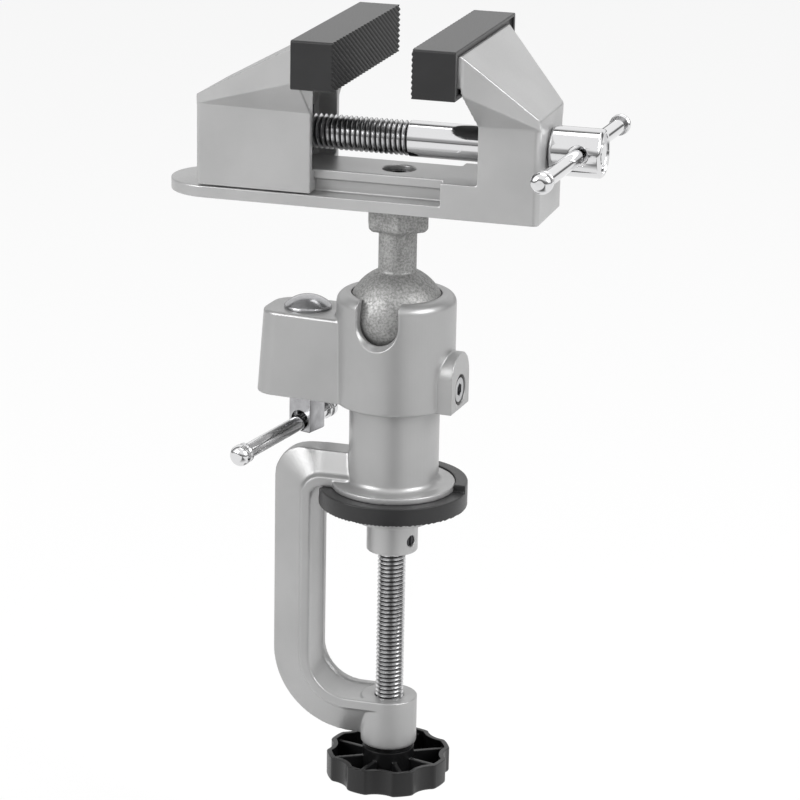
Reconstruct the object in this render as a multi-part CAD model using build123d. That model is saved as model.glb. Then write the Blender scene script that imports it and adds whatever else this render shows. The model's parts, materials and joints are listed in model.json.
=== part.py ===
from build123d import *
import math
import os

# Ball vise: a jaw vise on a ball joint, over a table clamp. Millimetres.
# Origin: centre of the table pad's underside. +Z is up, the clamp's arm is towards -X,
# the notch of the swivel housing faces -Y, and the jaws open along X.

# ---------------------------------------------------------------- table pad and clamp frame
table_pad_radius = 25.7
table_pad_thick = 6.4
table_pad_lip_height = 2.6
table_pad_lip_from = 0.0  # degrees round the flange, from +X
table_pad_lip_to = 148.0
flange_radius = 21.4
flange_thick = 2.2
fit_gap = 0.05  # radial clearance of every running fit
seat_gap = 0.02  # clearance between pieces that bear on each other

column_radius = 15.5
column_foot_fillet = 2.5
throat_depth = 26.9  # spindle axis to the inner face of the spine
throat_height = 71.2  # table pad's underside to the top of the spindle boss
throat_top_radius = 4.0
throat_bottom_radius = 14.0
rib_half_width = 9.8  # the wide inner rib of the C section
rib_thick = 3.3
rib_border = 2.6  # raised border each side of the rib's inner face
rib_recess = 0.8
web_root_half_width = 8.0  # the web narrows from the rib to the outer edge
web_edge_half_width = 2.4
spine_depth = 15.2  # inner face to outer edge, along the spine and below
arm_top = 17.9
arm_corner_radius = 11.0
spindle_boss_radius = 9.8
spindle_boss_bottom = -88.8
spindle_boss_fillet = 0.9

# ---------------------------------------------------------------- spindle, knob and foot
spindle_radius = 4.9
foot_gap = 2.3  # foot face below the table pad, at rest
foot_face_thick = 1.2
foot_radius = 13.5
foot_plate_thick = 1.8
foot_collar_radius = 8.9
foot_collar_height = 11.2
foot_screw_radius = 1.95
foot_screw_length = 4.0
foot_screw_slot = 0.7
foot_screw_azimuth = -25.0
foot_screw_drop = 8.4  # below the plate's top
spindle_tip_groove = 0.8
knob_radius = 21.8
knob_height = 9.3
knob_gap = 1.5  # boss to the knob's hub, at rest
knob_hub_rise = 1.9  # hub's top above the skirt
knob_lobes = 8
knob_turn = 8.0  # degrees
knob_scallop_radius = 8.5
knob_scallop_centre = 28.4
knob_wall = 1.8
knob_floor = 2.0
knob_hub_radius = 9.1
knob_rib_thick = 1.6
knob_rib_drop = 1.5

# ---------------------------------------------------------------- swivel housing and ball
housing_turn = -4.0  # degrees of the whole housing on the column, at rest
ball_height = 67.7  # ball centre above the origin
ball_radius = 16.85
housing_radius = 20.4
housing_bottom = 37.0
housing_rise = 7.9  # housing's top above the ball centre
housing_top_fillet = 3.3
housing_bottom_fillet = 1.2
cavity_radius = 17.05
mouth_radius = 15.4
journal_radius = 17.0
journal_bottom = 39.0
journal_drop = 12.1  # journal's top below the ball centre
journal_chamfer = 1.0
neck_radius = 6.5
notch_half_width = 7.2
notch_floor_gap = 0.1  # under the neck when it lies in the notch
notch_bevel = 1.6
collar_flats = 20.0
collar_height = 8.8
collar_turn = -12.0
collar_round = 1.5
stem_spigot_radius = 6.0
stem_spigot_height = 2.5

lobe_reach = 32.3  # housing axis to the lock bolt's axis
lobe_tail = 14.4  # lock bolt's axis to the end of the lobe, at its top
lobe_half_width = 13.0
lobe_end_half_width = 10.8
lobe_drop = 1.1  # lobe's top below the ball centre
lobe_bottom = 37.4
lobe_draft = 1.6  # growth of the lobe's outline from top to bottom
lobe_corner = 8.0
lobe_edge_fillet = 1.2
lobe_blend = 1.2  # fillet between the lobe's sides and the housing's wall

boss_face = 23.6  # housing axis to the flat of the swivel screw's boss
boss_half_width = 9.0
boss_top = 57.0
swivel_screw_height = 43.8
swivel_screw_radius = 2.45
swivel_screw_head_radius = 4.2
swivel_screw_head_height = 3.2
swivel_screw_counterbore = 5.3
swivel_screw_socket = 4.0  # across the flats
swivel_groove_depth = 1.6

# ---------------------------------------------------------------- lock of the swivel and ball
lock_bolt_radius = 3.95
lock_bolt_head_radius = 8.2
lock_bolt_head_height = 4.4
lock_bolt_rim = 0.9
lock_bolt_neck = 8.0  # square under the head
lock_bolt_neck_height = 4.0
wedge_half_width = 7.5
wedge_behind = 8.2  # lock bolt's axis to the wedge's back, at its foot
wedge_nose = 10.0  # housing axis to the wedge's front, before it is cut to ball and journal
wedge_slope = 8.0  # degrees of the back face
wedge_drop = 6.6  # wedge's top below the lobe's top
wedge_gap = 0.3
lock_nut_side = 8.8
lock_nut_height = 14.6
lock_nut_spigot_radius = 5.6
lock_nut_spigot_height = 6.5
lock_bar_azimuth = -107.5
lock_bar_droop = 5.1  # the bar hangs in its loose hole
lock_bar_radius = 2.65
lock_bar_hole_radius = 3.5
lock_bar_hole_drop = 10.4  # below the nut's top face
lock_bar_sag = 0.4  # bar's axis below the hole's axis
lock_bar_out = 38.3  # nut axis to the near end cap
lock_bar_in = 12.4  # nut axis to the far end cap
lock_cap_radius = 3.65
lock_cap_length = 6.0
bar_cap_round = 0.7  # rounding of a bar cap's end, as a share of its radius

# ---------------------------------------------------------------- vise body
stem_height = 38.6  # ball centre to the underside of the vise
base_half_width = 16.0
base_left = -80.0
base_right = 52.0
base_thick = 4.1
rail_left = -62.0
rail_half_width = 11.0
rail_neck_half_width = 9.0
rail_top = 12.0  # above the base's bottom
rail_lip_thick = 3.2
shoulder_left = 18.7
tower_left = 31.0
tower_right = 52.0
tower_height = 31.6  # above the base's bottom
tower_corner = 2.0
tower_wall = 3.0
tower_back_wall = 6.0
stem_screw_radius = 2.95
stem_screw_head_radius = 4.95
stem_screw_head_height = 6.0
stem_screw_length = 18.0
stem_screw_counterbore = 5.65
stem_screw_counterbore_depth = 7.5

# ---------------------------------------------------------------- jaws
jaw_width = 62.6
jaw_head_top = 57.4  # above the base's bottom, at the cap's back
jaw_head_low = 45.4  # where the flared sides end, at the cap's back
jaw_back_top = 35.2  # top of the jaw's outer end
jaw_nose_length = 11.0
jaw_nose_side = 0.4  # nose inside the jaw head, each end
jaw_nose_height = 10.0
moving_left = -66.3
moving_right = -26.2
moving_gap = 0.5  # under the moving jaw's skirts
moving_wall = 2.6
moving_corner = 1.2
nut_wall_left = -47.0
nut_wall_right = -33.0
moving_pocket_top = 43.2  # above the base's bottom
jaw_nut_side = 19.0
jaw_nut_length = 12.0
cap_length = 14.6
cap_width = 76.0
cap_height = 16.2
cap_low = 43.9  # above the base's bottom
cap_mouth_depth = 1.0  # the jaw's front stands in the wider mouth of the cap
cap_wall = 1.8
cap_rim = 1.2
fixed_cap_standoff = 2.1

# ---------------------------------------------------------------- jaw screw and tommy bar
screw_axis = 22.6  # above the base's bottom
screw_radius = 5.95
screw_shank_radius = 6.05
screw_left = -64.0
screw_thread_end = 4.2
screw_head_radius = 8.2
screw_head_gap = 0.4
screw_head_length = 17.6
screw_head_rim = 1.6
screw_head_stub_radius = 3.6  # the screw's end inside the recessed end face
screw_head_recess = 0.9
screw_end_clear_radius = 7.0
clip_thick = 1.5
clip_radius = 9.0
clip_groove = 0.9
tommy_place = 62.6
tommy_turn = -2.3  # degrees of the cross hole about the screw's axis
tommy_radius = 2.65
tommy_hole_radius = 3.4
tommy_half_length = 56.6
tommy_cap_radius = 3.65
tommy_cap_length = 5.6

# ---------------------------------------------------------------- values worked out from these
flange_top = table_pad_thick + flange_thick
base_bottom = ball_height + stem_height
housing_top = ball_height + housing_rise
journal_top = ball_height - journal_drop
lobe_top = ball_height - lobe_drop
notch_centre = ball_height - neck_radius - notch_floor_gap + notch_half_width
lobe_end = lobe_reach + lobe_tail
wedge_back = lobe_reach + wedge_behind
wedge_top = lobe_top - wedge_drop
foot_top = -foot_gap
foot_plate_top = foot_top - foot_face_thick
foot_collar_top = foot_plate_top - foot_plate_thick
foot_bottom = foot_collar_top - foot_collar_height
knob_hub_top = spindle_boss_bottom - knob_gap
knob_top = knob_hub_top - knob_hub_rise
knob_bottom = knob_top - knob_height
rib_bottom = -throat_height
lock_nut_top = lobe_bottom - 0.1
lock_nut_bottom = lock_nut_top - lock_nut_height
lock_bar_height = lock_nut_top - lock_bar_hole_drop
tower_top = base_bottom + tower_height
fixed_seat = tower_left - fixed_cap_standoff + seat_gap
rail_top_z = base_bottom + rail_top
plate_top = base_bottom + base_thick
collar_bottom = base_bottom - collar_height
screw_z = base_bottom + screw_axis
big = 400.0  # larger than the whole object, for cutting tools


def cylinder(radius, low, high, x=0.0, y=0.0):
    """An upright cylinder between two heights."""
    return Pos(x, y, (low + high) / 2) * Cylinder(radius, high - low)


def lying(radius, start, end, height):
    """A cylinder along X between two places, on the jaw screw's line or another height."""
    return Pos((start + end) / 2, 0, height) * Rot(0, 90, 0) * Cylinder(radius, end - start)


def block(x0, x1, y0, y1, z0, z1):
    """A box between two corners."""
    middle = Pos((x0 + x1) / 2, (y0 + y1) / 2, (z0 + z1) / 2)
    return middle * Box(x1 - x0, y1 - y0, z1 - z0)


def revolved(points):
    """A full turn about Z of an outline given as (radius, height)."""
    return revolve(make_face(Polyline(*[(r, 0, z) for r, z in points], close=True)), Axis.Z)


# ================================================================ clamp frame
def frame_outline():
    """The C seen from the side, from its outer edge to the inner face of its rib."""
    outer_x = -throat_depth - spine_depth
    bottom = rib_bottom - spine_depth + 0.4
    outer_radius = throat_bottom_radius + spine_depth
    with BuildSketch(Plane.XZ) as outline:
        with BuildLine():
            Line((0, arm_top), (outer_x + arm_corner_radius, arm_top))
            RadiusArc(
                (outer_x + arm_corner_radius, arm_top),
                (outer_x, arm_top - arm_corner_radius),
                -arm_corner_radius,
            )
            Line((outer_x, arm_top - arm_corner_radius), (outer_x, bottom + outer_radius))
            RadiusArc(
                (outer_x, bottom + outer_radius), (outer_x + outer_radius, bottom), -outer_radius
            )
            Line((outer_x + outer_radius, bottom), (0, bottom))
            Line((0, bottom), (0, arm_top))
        make_face()
    return outline.sketch


def frame_path():
    """The line that the C section follows: the inner face, from the column to the boss."""
    inner_x = -throat_depth
    top_z = table_pad_thick
    low_z = rib_bottom + throat_bottom_radius
    low_x = inner_x + throat_bottom_radius
    with BuildLine(Plane.XZ) as path:
        Line((0, top_z), (inner_x + throat_top_radius, top_z))
        CenterArc(
            (inner_x + throat_top_radius, top_z - throat_top_radius), throat_top_radius, 90, 90
        )
        Line((inner_x, top_z - throat_top_radius), (inner_x, low_z))
        CenterArc((low_x, low_z), throat_bottom_radius, 180, 90)
        Line((low_x, rib_bottom), (0, rib_bottom))
    return path.line


def frame_arm():
    """A rib section with a tapering web, carried round the C and trimmed to its outline."""
    start = Plane(origin=(0, 0, table_pad_thick), x_dir=(0, 1, 0), z_dir=(-1, 0, 0))
    deep = spine_depth + 1
    inner = rib_half_width - rib_border
    section = [
        (-rib_half_width, 0),
        (-inner, 0),
        (-inner + rib_recess, rib_recess),
        (inner - rib_recess, rib_recess),
        (inner, 0),
        (rib_half_width, 0),
        (rib_half_width, rib_thick),
        (web_root_half_width, rib_thick + 1.2),
        (web_edge_half_width, deep),
        (-web_edge_half_width, deep),
        (-web_root_half_width, rib_thick + 1.2),
        (-rib_half_width, rib_thick),
    ]
    upwards = 1 if start.y_dir.Z > 0 else -1
    face = start * make_face(Polyline(*[(u, upwards * v) for u, v in section], close=True))
    arm = sweep(face, path=frame_path())
    slab = extrude(frame_outline(), rib_half_width + 1, both=True)
    return arm & slab


def column():
    """The flange, the column with its foot fillet, and the journal that the housing turns on."""
    groove_low = swivel_screw_height - swivel_screw_radius - fit_gap
    groove_high = swivel_screw_height + swivel_screw_radius + fit_gap
    groove = journal_radius - swivel_groove_depth
    body = revolved(
        [
            (0, table_pad_thick),
            (flange_radius, table_pad_thick),
            (flange_radius, flange_top),
            (column_radius, flange_top),
            (column_radius, journal_bottom),
            (journal_radius, journal_bottom),
            (journal_radius, groove_low),
            (groove, groove_low),
            (groove, groove_high),
            (journal_radius, groove_high),
            (journal_radius, journal_top - journal_chamfer),
            (journal_radius - journal_chamfer, journal_top),
            (0, journal_top),
        ]
    )
    foot = body.edges().filter_by(GeomType.CIRCLE)
    foot = foot.filter_by_position(Axis.Z, flange_top - 0.01, flange_top + 0.01)
    body = fillet(foot.sort_by(SortBy.RADIUS)[0], column_foot_fillet)
    return body - Pos(0, 0, ball_height) * Sphere(ball_radius + seat_gap)


def spindle_boss():
    body = cylinder(spindle_boss_radius, spindle_boss_bottom, rib_bottom)
    rim = body.edges().filter_by(GeomType.CIRCLE).sort_by(Axis.Z)[0]
    return fillet(rim, spindle_boss_fillet)


def c_frame():
    body = frame_arm() + column() + spindle_boss()
    return body - cylinder(spindle_radius + fit_gap, spindle_boss_bottom - 1, rib_bottom + 1)


def table_pad():
    """The rubber ring under the flange, with a lip that hugs the flange round the back."""
    disc = cylinder(table_pad_radius, 0, table_pad_thick)
    turn = table_pad_lip_to - table_pad_lip_from
    section = Plane.XZ * make_face(
        Polyline(
            (flange_radius + fit_gap, table_pad_thick),
            (table_pad_radius, table_pad_thick),
            (table_pad_radius, table_pad_thick + table_pad_lip_height),
            (flange_radius + fit_gap, table_pad_thick + table_pad_lip_height),
            close=True,
        )
    )
    lip = Rot(0, 0, table_pad_lip_from) * revolve(section, Axis.Z, revolution_arc=turn)
    corner = block(
        -throat_depth - 1,
        -throat_depth + throat_top_radius,
        -rib_half_width - 0.2,
        rib_half_width + 0.2,
        table_pad_thick - throat_top_radius,
        table_pad_thick + 1,
    )
    return disc + lip - corner


# ================================================================ spindle and foot
def clamp_screw():
    """The clamp's threaded spindle, plain at the crest of its thread, with a grooved tip."""
    tip = foot_collar_top + foot_plate_thick - 0.4
    body = cylinder(spindle_radius, knob_bottom + knob_floor, tip)
    groove_z = foot_collar_top - foot_screw_drop + foot_plate_thick
    groove = cylinder(spindle_radius + 1, groove_z - 2.2, groove_z + 2.2)
    groove -= cylinder(spindle_radius - spindle_tip_groove, groove_z - 3, groove_z + 3)
    return body - groove


def foot():
    """The swivelling foot: a round plate with a collar that holds the spindle's tip."""
    body = cylinder(foot_radius, foot_collar_top, foot_plate_top)
    body += cylinder(foot_collar_radius, foot_bottom, foot_collar_top)
    socket_top = foot_collar_top + foot_plate_thick - 0.35
    body -= cylinder(spindle_radius + fit_gap, foot_bottom - 1, socket_top)
    return body - foot_screw_place() * Cylinder(foot_screw_radius + fit_gap, 2 * foot_collar_radius)


def foot_screw_place():
    """Where the foot's set screw lies, with its own Z along the screw, outwards."""
    height = foot_collar_top - foot_screw_drop + foot_plate_thick
    middle = foot_collar_radius
    return Pos(0, 0, height) * Rot(0, 0, foot_screw_azimuth) * Pos(middle, 0, 0) * Rot(0, 90, 0)


def foot_set_screw():
    tip = spindle_radius - spindle_tip_groove + fit_gap
    shift = tip + foot_screw_length / 2 - foot_collar_radius
    body = Cylinder(foot_screw_radius, foot_screw_length)
    slot = Pos(0, 0, foot_screw_length / 2) * Box(6, foot_screw_slot, 2 * foot_screw_slot)
    return foot_screw_place() * Pos(0, 0, shift) * (body - slot)


def foot_face():
    return cylinder(foot_radius, foot_plate_top, foot_top)


def lobed(radius, scallop, low):
    """An upright disc with scallops cut round it, as tall as the knob."""
    plan = Circle(radius) - PolarLocations(knob_scallop_centre, knob_lobes) * Circle(scallop)
    return extrude(Pos(0, 0, low) * plan, knob_height)


def knob():
    """A moulded knob: scalloped skirt, floor, hub and radial ribs, open at the top."""
    body = lobed(knob_radius, knob_scallop_radius, knob_bottom)
    body = fillet(body.edges().filter_by(Axis.Z), 2.0)
    body = chamfer(body.faces().sort_by(Axis.Z)[0].edges(), 0.6)
    inner = knob_radius - knob_wall
    body -= lobed(inner, knob_scallop_radius + knob_wall, knob_bottom + knob_floor)
    rib_top = knob_top - knob_rib_drop
    reach = knob_radius - knob_wall / 2
    half = knob_rib_thick / 2
    rib = block(knob_hub_radius - 1, reach, -half, half, knob_bottom + 1, rib_top)
    for i in range(knob_lobes):
        body += Rot(0, 0, 360 * (i + 0.5) / knob_lobes) * rib
    body += cylinder(knob_hub_radius, knob_bottom + 1, knob_hub_top)
    body -= cylinder(spindle_radius, knob_bottom + knob_floor, knob_hub_top + 1)
    return Rot(0, 0, knob_turn) * body


# ================================================================ swivel housing
def lobe_shell():
    """The lobe that carries the lock bolt: drafted, with a rounded end and soft edges."""
    def outline(grow):
        end = -lobe_end - grow
        wide = lobe_half_width + grow / 2
        slim = lobe_end_half_width + grow
        face = make_face(Polyline((0, -wide), (0, wide), (end, slim), (end, -slim), close=True))
        ends = face.vertices().sort_by(Axis.X)[0:2]
        return fillet(ends, lobe_corner)

    top = Pos(0, 0, lobe_top) * outline(0)
    bottom = Pos(0, 0, lobe_bottom) * outline(lobe_draft)
    body = loft([bottom.face(), top.face()])
    rims = [e for e in body.edges() if abs(e.center().Z - lobe_top) < 0.01 and e.center().X < -5]
    return fillet(rims, lobe_edge_fillet)


def swivel_boss():
    """The arched pad on the right, with a flat face for the swivel screw."""
    arch = Plane.YZ * (
        Pos(0, boss_top - boss_half_width) * Circle(boss_half_width)
        + Pos(0, (boss_top - boss_half_width + housing_bottom) / 2)
        * Rectangle(2 * boss_half_width, boss_top - boss_half_width - housing_bottom)
    )
    return extrude(arch, boss_face)


def notch():
    """The open-topped slot that lets the neck fold down through the wall, with its bevel."""
    def slot(half):
        return Plane.XZ * (
            Pos(0, notch_centre) * Circle(half)
            + Pos(0, notch_centre + big / 4) * Rectangle(2 * half, big / 2)
        )

    deep = housing_radius + 2
    cut = extrude(slot(notch_half_width), deep)
    outer = Pos(0, -housing_radius - 0.01, 0) * slot(notch_half_width + notch_bevel)
    inner = Pos(0, -housing_radius + 1.5 * notch_bevel, 0) * slot(notch_half_width)
    return cut + loft([outer.face(), inner.face()])


def wedge_pocket():
    """The chamber in the lobe where the wedge slides, open to the cavity and below."""
    wide = wedge_half_width + wedge_gap
    return wedge_blank(wide, housing_bottom - 1, wedge_top + 1.5, wedge_back + wedge_gap)


def wedge_blank(half_width, low, high, back):
    lean = math.tan(math.radians(wedge_slope))
    side = Plane.XZ * make_face(
        Polyline(
            (-wedge_nose, low),
            (-back - (lobe_bottom - low) * lean, low),
            (-back + (high - lobe_bottom) * lean, high),
            (-wedge_nose, high),
            close=True,
        )
    )
    return extrude(side, half_width, both=True)


def housing_place():
    """The housing's turn on the column; its lobe lies along -X and its notch along -Y before it."""
    return Rot(0, 0, housing_turn)


def swivel_housing():
    shell = cylinder(housing_radius, housing_bottom, housing_top)
    rims = shell.edges().filter_by(GeomType.CIRCLE).sort_by(Axis.Z)
    shell = fillet(rims[-1], housing_top_fillet)
    rims = shell.edges().filter_by(GeomType.CIRCLE).sort_by(Axis.Z)
    shell = fillet(rims[0], housing_bottom_fillet)
    body = shell + lobe_shell()
    joins = [e for e in body.edges() if lobe_bottom + 3 < e.center().Z < lobe_top - 3]
    side_x = -math.sqrt(housing_radius**2 - lobe_half_width**2)
    joins = [e for e in joins if abs(e.center().X - side_x) < lobe_blend]
    body = fillet(joins, lobe_blend) + swivel_boss()
    body -= cylinder(cavity_radius, housing_bottom - 1, ball_height)
    body -= Pos(0, 0, ball_height) * Sphere(ball_radius + fit_gap)
    body -= cylinder(mouth_radius, ball_height, housing_top + 1)
    body -= notch()
    body -= wedge_pocket()
    body -= cylinder(lock_bolt_radius + 0.25, housing_bottom - 1, lobe_top + 1, x=-lobe_reach)
    neck = lock_bolt_neck / 2 + fit_gap
    body -= block(
        -lobe_reach - neck,
        -lobe_reach + neck,
        -neck,
        neck,
        lobe_top - lock_bolt_neck_height - 0.2,
        lobe_top + 1,
    )
    body -= lying(swivel_screw_radius + fit_gap, cavity_radius / 2, boss_face + 1, swivel_screw_height)
    seat = boss_face - swivel_screw_head_height - 0.4
    body -= lying(swivel_screw_counterbore, seat, boss_face + 1, swivel_screw_height)
    return housing_place() * body


def swivel_screw():
    """The screw whose tip runs in the column's groove and keeps the housing on."""
    tip = journal_radius - swivel_groove_depth + 0.3
    seat = boss_face - swivel_screw_head_height - 0.4
    shank = lying(swivel_screw_radius, tip, seat, swivel_screw_height)
    head = lying(
        swivel_screw_head_radius, seat, seat + swivel_screw_head_height, swivel_screw_height
    )
    face = seat + swivel_screw_head_height
    socket = extrude(RegularPolygon(swivel_screw_socket / 2, 6, major_radius=False), 4)
    screw = shank + head - Pos(face - 2, 0, swivel_screw_height) * Rot(0, 90, 0) * socket
    return housing_place() * screw


# ================================================================ lock
def lock_bolt():
    """A carriage bolt: domed head on the lobe, square neck, shank down into the lock nut."""
    top = lobe_top + lock_bolt_head_height
    rise = lock_bolt_head_height - lock_bolt_rim
    dome = (lock_bolt_head_radius**2 + rise**2) / (2 * rise)
    head = Pos(-lobe_reach, 0, top - dome) * Sphere(dome)
    head &= cylinder(lock_bolt_head_radius, lobe_top + seat_gap, top + 1, x=-lobe_reach)
    half = lock_bolt_neck / 2
    neck = block(
        -lobe_reach - half,
        -lobe_reach + half,
        -half,
        half,
        lobe_top - lock_bolt_neck_height,
        lobe_top + 0.1,
    )
    end = lock_bar_height + lock_bar_hole_radius + 1.0
    return housing_place() * (head + neck + cylinder(lock_bolt_radius, end, lobe_top, x=-lobe_reach))


def lock_wedge():
    """The wedge that the nut lifts: its sloping back drives its nose onto ball and journal."""
    body = wedge_blank(wedge_half_width, lobe_bottom, wedge_top, wedge_back)
    body -= cylinder(journal_radius + fit_gap + wedge_gap / 2, lobe_bottom - 1, journal_top + 0.3)
    body -= Pos(0, 0, ball_height) * Sphere(ball_radius + fit_gap + wedge_gap / 2)
    body -= cylinder(journal_radius - 3, journal_top, wedge_top + 1)
    body -= cylinder(lock_bolt_radius + wedge_gap, lobe_bottom - 1, wedge_top + 1, x=-lobe_reach)
    top = lock_nut_top + lock_nut_spigot_height + 0.5
    body -= cylinder(lock_nut_spigot_radius + fit_gap, lobe_bottom - 1, top, x=-lobe_reach)
    return housing_place() * body


def lock_bar_place():
    """Where the lock bar lies: its own Z runs along it, out to the near end."""
    over = housing_place() * Pos(-lobe_reach, 0, lock_bar_height - lock_bar_sag)
    return over * Rot(0, 0, lock_bar_azimuth - housing_turn) * Rot(0, 90 + lock_bar_droop, 0)


def lock_nut():
    """A square nut with a round spigot that turns in the wedge, and a cross hole for the bar."""
    half = lock_nut_side / 2
    square = block(-half, half, -half, half, lock_nut_bottom, lock_nut_top)
    square = chamfer(square.faces().sort_by(Axis.Z)[0].edges(), 0.6)
    turn = lock_bar_azimuth - housing_turn
    body = Pos(-lobe_reach, 0, 0) * Rot(0, 0, turn) * square
    body += cylinder(
        lock_nut_spigot_radius, lock_nut_top, lock_nut_top + lock_nut_spigot_height, x=-lobe_reach
    )
    hole = Pos(-lobe_reach, 0, lock_bar_height) * Rot(0, 0, turn) * Rot(0, 90, 0)
    body -= hole * Cylinder(lock_bar_hole_radius, 2 * lock_nut_side)
    bore_top = lock_nut_top + lock_nut_spigot_height + 1
    body -= cylinder(lock_bolt_radius + fit_gap, lock_bar_height, bore_top, x=-lobe_reach)
    return housing_place() * body


def lock_bar():
    start = -lock_bar_in
    end = lock_bar_out
    rod = Pos(0, 0, (start + end) / 2) * Cylinder(lock_bar_radius, end - start)
    return lock_bar_place() * rod


def bar_cap(radius, length, hole):
    """A turned end cap: a neck with a groove, a barrel and a domed end, bored to the bar."""
    half = length / 2
    body = revolved(
        [
            (0, -half),
            (radius * 0.95, -half),
            (radius * 0.95, -half + length * 0.18),
            (radius * 0.86, -half + length * 0.22),
            (radius * 0.86, -half + length * 0.32),
            (radius, -half + length * 0.38),
            (radius, half),
            (0, half),
        ]
    )
    rim = body.edges().filter_by(GeomType.CIRCLE).sort_by(Axis.Z)[-1]
    body = fillet(rim, radius * bar_cap_round)
    return body - Pos(0, 0, -half) * Cylinder(hole, 2 * half)


def lock_bar_caps():
    near = Pos(0, 0, lock_bar_out) * bar_cap(lock_cap_radius, lock_cap_length, lock_bar_radius)
    far = Pos(0, 0, -lock_bar_in) * Rot(180, 0, 0)
    far *= bar_cap(lock_cap_radius, lock_cap_length, lock_bar_radius)
    return lock_bar_place() * Compound(children=[near, far])


# ================================================================ ball stem
def ball_stem():
    """Ball, neck, six-sided collar and spigot, cast in one, tapped from above."""
    body = Pos(0, 0, ball_height) * Sphere(ball_radius)
    body += cylinder(neck_radius, ball_height, collar_bottom + 1)
    hexagon = RegularPolygon(collar_flats / 2, 6, major_radius=False, rotation=collar_turn)
    collar = extrude(Pos(0, 0, collar_bottom) * hexagon, collar_height)
    collar = fillet(collar.edges().filter_by(Axis.Z), collar_round)
    body += chamfer(collar.faces().sort_by(Axis.Z)[0].edges(), 1.2)
    body += cylinder(stem_spigot_radius, base_bottom, base_bottom + stem_spigot_height)
    tapped = base_bottom + stem_spigot_height - stem_screw_length
    return body - cylinder(stem_screw_radius, tapped, base_bottom + stem_spigot_height + 1)


def stem_screw():
    """The cap screw that holds the vise down on the ball stem, with a six-sided socket."""
    seat = rail_top_z - stem_screw_counterbore_depth
    body = cylinder(stem_screw_head_radius, seat, seat + stem_screw_head_height)
    low = base_bottom + stem_spigot_height - stem_screw_length + 1.5
    body += cylinder(stem_screw_radius, low, seat)
    socket = extrude(
        Pos(0, 0, seat + stem_screw_head_height - 3) * RegularPolygon(2.5, 6, major_radius=False), 4
    )
    return body - socket


# ================================================================ vise body and jaws
def jaw_head(back, face, seat, corner):
    """The flared head of a jaw, from its outer end to the front in the cap's mouth: a plan
    that widens, a sloping roof, undersides that run from the tower's sides out to the jaw's
    ends, and a front that leans from the tower's face out to the cap's seat."""
    outwards = 1 if back > face else -1
    half = base_half_width
    wide = jaw_width / 2
    front = seat - outwards * cap_mouth_depth
    plan = make_face(
        Polyline((back, -half), (front, -wide), (front, wide), (back, half), close=True)
    )
    plan = fillet(plan.vertices().sort_by(Axis.X)[:: -outwards][0:2], corner)
    low = tower_top - 2
    body = extrude(Pos(0, 0, low) * plan, base_bottom + jaw_head_top - low)
    roof = Plane(
        origin=(seat, 0, base_bottom + jaw_head_top),
        x_dir=(0, 1, 0),
        z_dir=(outwards * (jaw_head_top - jaw_back_top), 0, abs(back - seat)),
    )
    body = split(body, bisect_by=roof, keep=Keep.BOTTOM)
    rise = base_bottom + cap_low + cap_rim + 2 * seat_gap - tower_top
    lean = Plane(
        origin=(face, 0, tower_top), x_dir=(0, 1, 0), z_dir=(outwards * rise, 0, abs(face - seat))
    )
    body = split(body, bisect_by=lean, keep=Keep.TOP)
    for side in (-1, 1):
        start = Vector(seat, side * half, tower_top)
        end = Vector(seat, side * wide, base_bottom + jaw_head_low)
        tail = Vector(back, side * half, tower_top + 0.6)
        normal = (end - start).cross(tail - start).normalized()
        if normal.Z < 0:
            normal = normal * -1
        under = Plane(origin=start, z_dir=normal)
        body = split(body, bisect_by=under, keep=Keep.TOP)
    return body


def jaw_tower(back, face, low, corner):
    """The upright block under a jaw's head, with its two outer corners rounded."""
    outwards = 1 if back > face else -1
    plan = Pos((back + face) / 2, 0) * Rectangle(abs(back - face), 2 * base_half_width)
    plan = fillet(plan.vertices().sort_by(Axis.X)[:: -outwards][0:2], corner)
    return extrude(Pos(0, 0, low) * plan, tower_top + 0.3 - low)


def jaw_nose(seat, towards):
    """The tongue on the jaw's front that the rubber cap slips over."""
    wide = jaw_width / 2 - jaw_nose_side
    middle = base_bottom + cap_low + cap_height / 2
    root = seat - towards * 0.2
    end = seat + towards * jaw_nose_length
    return block(
        min(root, end),
        max(root, end),
        -wide,
        wide,
        middle - jaw_nose_height / 2,
        middle + jaw_nose_height / 2,
    )


def base_plan():
    """The base seen from above: a rounded left end and a square right end."""
    round_end = base_left + base_half_width
    straight = base_right - tower_corner - round_end
    plan = Pos(round_end, 0) * Circle(base_half_width)
    return plan + Pos(round_end + straight / 2, 0) * Rectangle(straight, 2 * base_half_width)


def rail():
    """The guide: a lip over a narrower neck, from the left end to the shoulder."""
    neck_top = rail_top_z - rail_lip_thick
    neck = rail_neck_half_width
    body = block(rail_left, shoulder_left + 1, -neck, neck, plate_top - 1, neck_top + 0.5)
    lip = rail_half_width
    return body + block(rail_left, shoulder_left + 1, -lip, lip, neck_top, rail_top_z)


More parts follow.
